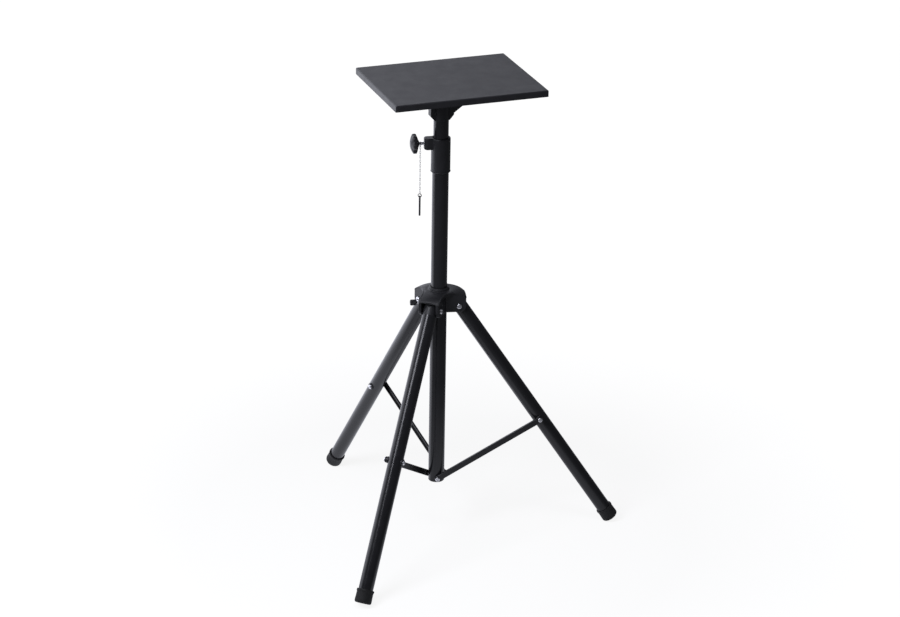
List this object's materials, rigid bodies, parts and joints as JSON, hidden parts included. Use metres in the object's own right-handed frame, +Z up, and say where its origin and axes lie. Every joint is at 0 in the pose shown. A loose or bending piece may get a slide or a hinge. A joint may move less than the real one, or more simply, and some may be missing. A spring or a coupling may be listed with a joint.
{
  "type": "portable projector stand",
  "caption": "Folding tripod stand with a telescoping pole and a flat rectangular tray with folded-down edges, for standing a projector on.",
  "frame": {"origin": "on the floor, under the axis of the column", "axes": "+Z up along the column; the tray's long edges run along X and its front edge faces -Y"},
  "size_m": [0.7368, 0.7532, 1.1351],
  "materials": {
    "tube_paint": "semi-gloss black powder coat",
    "strap_paint": "satin black paint",
    "tray_paint": "fine-textured satin black powder coat",
    "black_plastic": "satin moulded black plastic",
    "foot_rubber": "matt black rubber",
    "zinc": "bright zinc plate",
    "dark_steel": "dark steel",
    "chain_steel": "bright plated wire"
  },
  "bodies": {
    "column": {"column_tube": "tube_paint", "column_plug": "black_plastic", "top_collar": "black_plastic", "brace_screw_1": "zinc", "brace_screw_2": "zinc", "brace_screw_3": "zinc"},
    "pole": {"inner_pole": "tube_paint", "pole_bush": "black_plastic"},
    "tray": {"tray_plate": "tray_paint", "tray_bracket": "tray_paint", "tray_spigot": "tray_paint"},
    "hub": {"hub": "black_plastic", "leg_bolt_1": "zinc", "leg_bolt_2": "zinc", "leg_bolt_3": "zinc"},
    "hub_lock": {"hub_lock_screw": "zinc", "hub_lock_grip": "black_plastic"},
    "clamp": {"clamp_screw": "zinc", "clamp_knob": "black_plastic"},
    "pin_hanger": {"pin_chain": "chain_steel", "pin_ring": "dark_steel", "safety_pin": "dark_steel"},
    "leg_1": {"leg_tube_1": "tube_paint", "leg_plug_1": "black_plastic", "foot_cap_1": "foot_rubber", "brace_bolt_1": "zinc"},
    "leg_2": {"leg_tube_2": "tube_paint", "leg_plug_2": "black_plastic", "foot_cap_2": "foot_rubber", "brace_bolt_2": "zinc"},
    "leg_3": {"leg_tube_3": "tube_paint", "leg_plug_3": "black_plastic", "foot_cap_3": "foot_rubber", "brace_bolt_3": "zinc"},
    "brace_1": {"brace_1": "strap_paint", "brace_rivet_1": "zinc"},
    "brace_2": {"brace_2": "strap_paint", "brace_rivet_2": "zinc"},
    "brace_3": {"brace_3": "strap_paint", "brace_rivet_3": "zinc"}
  },
  "joints": [
    {"name": "hub_slide", "type": "slide", "parent": "column", "child": "hub", "axis": [0, 0, 1], "range_m": [0, 0.19464]},
    {"name": "pole_slide", "type": "slide", "parent": "column", "child": "pole", "axis": [0, 0, 1], "range_m": [-0.036, 0.4]},
    {"name": "tray_swivel", "type": "hinge", "parent": "pole", "child": "tray", "pos_m": [0, 0, 1.03792], "axis": [0, 0, 1], "continuous": true},
    {"name": "hub_lock_turn", "type": "hinge", "parent": "hub", "child": "hub_lock", "pos_m": [-0.05077, 0.01125, 0.59088], "axis": [-0.9763, 0.2164, 0], "continuous": true},
    {"name": "clamp_turn", "type": "hinge", "parent": "column", "child": "clamp", "pos_m": [-0.04973, 0.00877, 0.98262], "axis": [-0.9848, 0.1736, 0], "continuous": true},
    {"name": "pin_swing", "type": "hinge", "parent": "column", "child": "pin_hanger", "pos_m": [-0.04658, 0.00821, 0.98262], "axis": [-0.9848, 0.1736, 0], "range_deg": [-40, 40]},
    {"name": "leg_1_fold", "type": "hinge", "parent": "hub", "child": "leg_1", "pos_m": [0.04393, -0.00974, 0.58788], "axis": [0.2164, 0.9763, 0], "range_deg": [0, 33.41]},
    {"name": "leg_2_fold", "type": "hinge", "parent": "hub", "child": "leg_2", "pos_m": [-0.01353, 0.04292, 0.58788], "axis": [-0.9537, -0.3007, 0], "range_deg": [0, 33.41]},
    {"name": "leg_3_fold", "type": "hinge", "parent": "hub", "child": "leg_3", "pos_m": [-0.0304, -0.03318, 0.58788], "axis": [0.7373, -0.6756, 0], "range_deg": [0, 33.41]},
    {"name": "brace_1_fold", "type": "hinge", "parent": "column", "child": "brace_1", "pos_m": [-0.00498, -0.02245, 0.14262], "axis": [-0.2164, -0.9763, 0], "range_deg": [0, 50.2]},
    {"name": "brace_2_fold", "type": "hinge", "parent": "column", "child": "brace_2", "pos_m": [0.02193, 0.00692, 0.14262], "axis": [0.9537, 0.3007, 0], "range_deg": [0, 50.2]},
    {"name": "brace_3_fold", "type": "hinge", "parent": "column", "child": "brace_3", "pos_m": [-0.01696, 0.01554, 0.14262], "axis": [-0.7373, 0.6756, 0], "range_deg": [0, 50.2]}
  ],
  "couplings": [
    {"joint": "leg_1_fold", "follows": "hub_slide", "rad_per_m": 2.995},
    {"joint": "leg_2_fold", "follows": "hub_slide", "rad_per_m": 2.995},
    {"joint": "leg_3_fold", "follows": "hub_slide", "rad_per_m": 2.995},
    {"joint": "brace_1_fold", "follows": "hub_slide", "rad_per_m": 4.5009},
    {"joint": "brace_2_fold", "follows": "hub_slide", "rad_per_m": 4.5009},
    {"joint": "brace_3_fold", "follows": "hub_slide", "rad_per_m": 4.5009}
  ]
}
